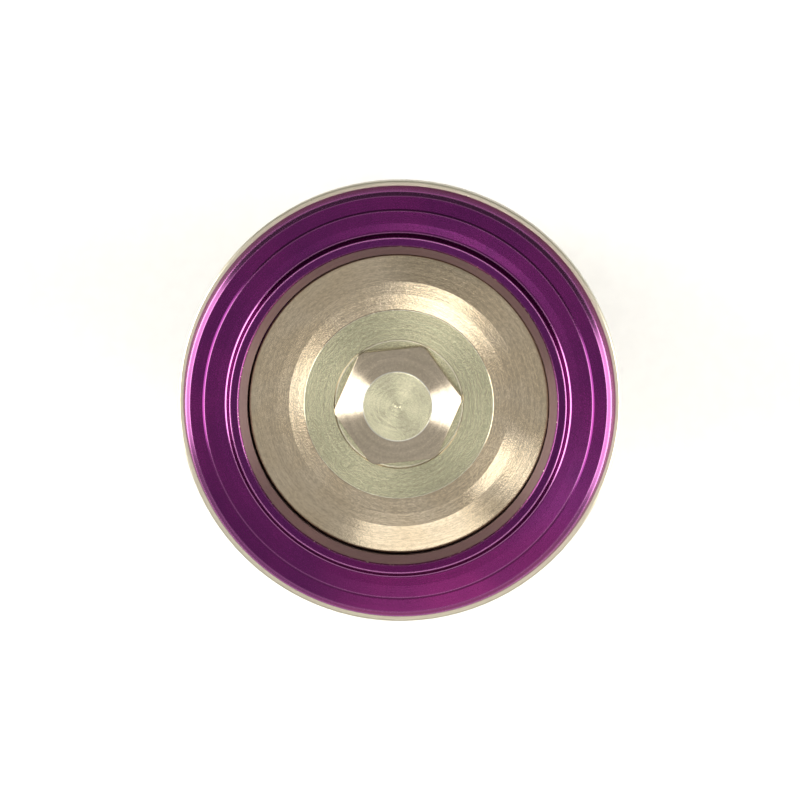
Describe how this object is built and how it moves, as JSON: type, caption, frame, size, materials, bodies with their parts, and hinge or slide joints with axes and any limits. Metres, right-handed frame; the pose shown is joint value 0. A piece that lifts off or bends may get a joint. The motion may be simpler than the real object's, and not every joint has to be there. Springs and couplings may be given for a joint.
{
  "type": "pop-up sprinkler",
  "caption": "Round pop-up sprinkler: plated threaded housing, purple stepped cap ring, spring-returned riser, flush disc head with a hex adjuster and annular nozzle.",
  "frame": {"origin": "centre of the inlet's bottom face, on the common axis of all turned pieces", "axes": "+Z along the axis from the inlet to the head; +X through the first guide rib inside the barrel"},
  "size_m": [0.055, 0.055, 0.1138],
  "materials": {
    "nickel_plate": "bright nickel plate on turned brass",
    "satin_nickel": "satin turned nickel-plated brass, fine circular grain",
    "bare_metal": "fine turned, lightly toned plate",
    "purple_anodised": "purple anodised, satin, fine turning marks",
    "black_rubber": "moulded, matt",
    "acetal": "moulded, fine satin",
    "stainless": "stamped, satin",
    "spring_steel": "drawn wire, bright"
  },
  "bodies": {
    "housing": {"housing": "nickel_plate", "inlet_screen": "stainless", "screen_ring": "spring_steel", "cap_ring": "purple_anodised", "guide_bush": "bare_metal", "wiper_seal": "black_rubber", "upper_spring_seat": "stainless", "seat_circlip": "spring_steel", "cap_o_ring": "black_rubber", "retract_spring": "spring_steel"},
    "riser": {"riser_tube": "bare_metal", "riser_foot": "acetal", "lower_spring_seat": "stainless", "check_seal": "black_rubber", "seal_washer": "stainless", "seal_screw": "stainless", "filter_screen": "acetal", "nozzle_seat": "satin_nickel", "nozzle_o_ring": "black_rubber", "deflector": "satin_nickel", "stem_o_ring": "black_rubber", "throttle_cage": "acetal"},
    "adjuster": {"adjuster_screw": "satin_nickel", "stem_clip": "spring_steel"},
    "throttle": {"throttle_plug": "acetal"}
  },
  "joints": [
    {"name": "riser_lift", "type": "slide", "parent": "housing", "child": "riser", "axis": [0, 0, 1], "range_m": [0, 0.05], "stiffness_N_per_m": 160, "springref_m": -0.03, "deforming": ["retract_spring"]},
    {"name": "adjuster_turn", "type": "hinge", "parent": "riser", "child": "adjuster", "pos_m": [0, 0, 0.1109], "axis": [0, 0, 1], "range_deg": [-1044, 0]},
    {"name": "throttle_slide", "type": "slide", "parent": "riser", "child": "throttle", "axis": [0, 0, 1], "range_m": [0, 0.00435]}
  ],
  "couplings": [
    {"joint": "adjuster_turn", "follows": "throttle_slide", "rad_per_m": -4188.8}
  ]
}
